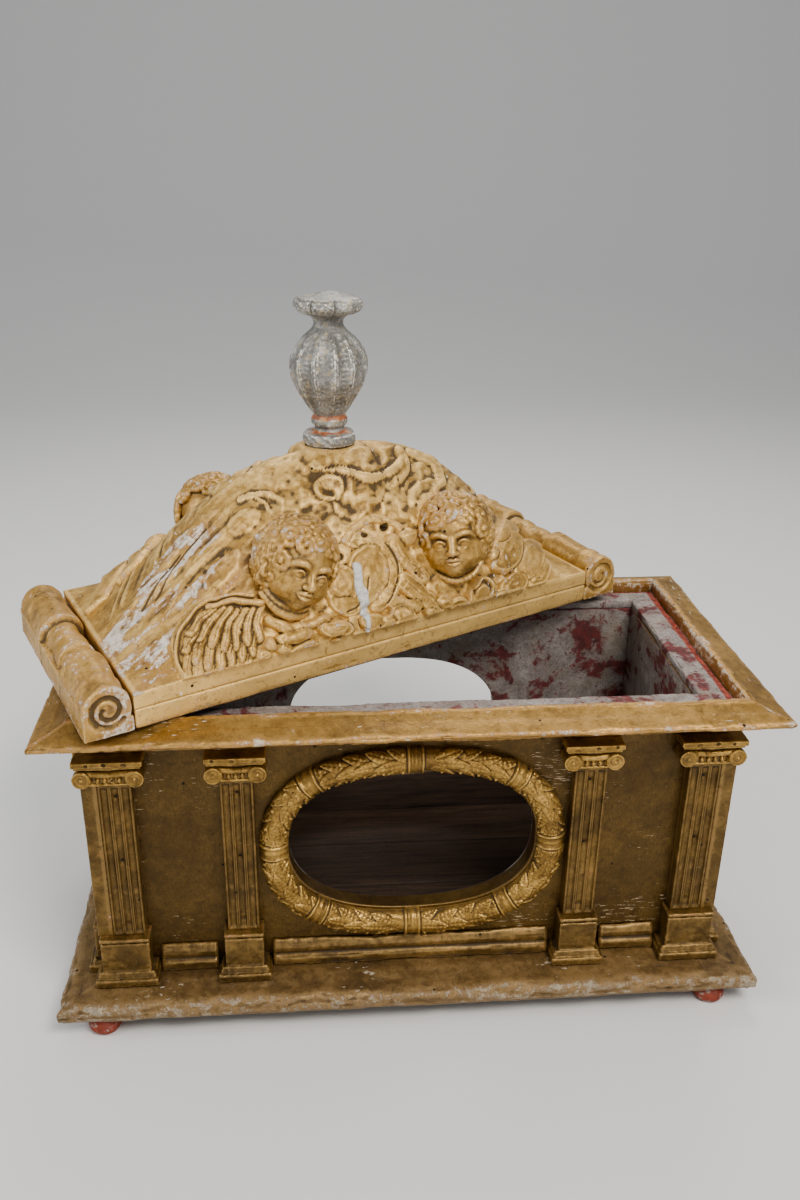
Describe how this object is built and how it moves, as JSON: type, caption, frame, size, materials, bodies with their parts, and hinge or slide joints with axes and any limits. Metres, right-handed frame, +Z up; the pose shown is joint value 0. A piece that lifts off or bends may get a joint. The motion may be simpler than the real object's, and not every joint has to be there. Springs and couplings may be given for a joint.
{
  "type": "tabernacle box",
  "caption": "Gilded wooden church casket with pilasters, oval wreathed windows, moulded base on small feet, and a loose carved lid with a turned finial.",
  "frame": {"origin": "centre of the base slab's underside; the feet reach 14 mm below it", "axes": "+X right along the front, +Y from the front to the back, +Z up"},
  "size_m": [0.6045, 0.4353, 0.5518],
  "materials": {
    "gilt_dark": "aged oil gilding toned dark olive, satin, scratched",
    "gilt_bright": "water gilding over gesso and red bole, worn on the high spots",
    "gilt_worn": "gilding rubbed down to gesso and dirt, chipped edge",
    "red_bole": "red bole paint, matte, abraded",
    "bare_wood": "bare aged softwood boards, matte",
    "silver_leaf": "silver leaf over gesso, crackled, matte to satin",
    "iron": "dark oxidised wrought nail heads"
  },
  "bodies": {
    "box": {"base_slab": "gilt_worn", "foot_front_left": "red_bole", "foot_front_right": "red_bole", "foot_back_left": "red_bole", "foot_back_right": "red_bole", "floor_board": "bare_wood", "front_panel": "gilt_dark", "back_panel": "gilt_dark", "left_panel": "gilt_dark", "right_panel": "gilt_dark", "cornice_front": "gilt_bright", "cornice_back": "gilt_bright", "cornice_left": "gilt_bright", "cornice_right": "gilt_bright", "ledge_front": "red_bole", "ledge_back": "red_bole", "ledge_left": "red_bole", "ledge_right": "red_bole", "skirting_front": "gilt_bright", "skirting_back": "gilt_bright", "skirting_left": "gilt_bright", "skirting_right": "gilt_bright", "plinths_front": "gilt_bright", "plinths_back": "gilt_bright", "plinths_left": "gilt_bright", "plinths_right": "gilt_bright", "pilaster_front_1": "gilt_dark", "pilaster_front_2": "gilt_dark", "pilaster_front_3": "gilt_dark", "pilaster_front_4": "gilt_dark", "pilaster_back_1": "gilt_dark", "pilaster_back_2": "gilt_dark", "pilaster_back_3": "gilt_dark", "pilaster_back_4": "gilt_dark", "pilaster_left_1": "gilt_dark", "pilaster_left_2": "gilt_dark", "pilaster_right_1": "gilt_dark", "pilaster_right_2": "gilt_dark", "capitals_front": "gilt_bright", "capitals_back": "gilt_bright", "capitals_left": "gilt_bright", "capitals_right": "gilt_bright", "wreath_front": "gilt_bright", "wreath_back": "gilt_bright", "pilaster_nails": "iron"},
    "finial": {"finial": "silver_leaf"},
    "lid": {"lid_frame": "gilt_bright", "lid_shell": "gilt_bright", "crown_block": "red_bole", "scroll_left": "gilt_bright", "scroll_right": "gilt_bright", "cherub_front_left": "gilt_bright", "cherub_front_right": "gilt_bright", "cherub_back_left": "gilt_bright", "cherub_back_right": "gilt_bright", "wings_front": "gilt_bright", "wings_back": "gilt_bright", "clouds_front": "gilt_bright", "clouds_back": "gilt_bright"}
  },
  "joints": [
    {"name": "lid_lift", "type": "slide", "parent": "box", "child": "finial", "axis": [0, 0, 1], "range_m": [0, 0.25]},
    {"name": "lid_turn", "type": "hinge", "parent": "finial", "child": "lid", "pos_m": [-0.05783, 0.06167, 0.4], "axis": [0, 0, 1], "range_deg": [-29, 61]}
  ]
}
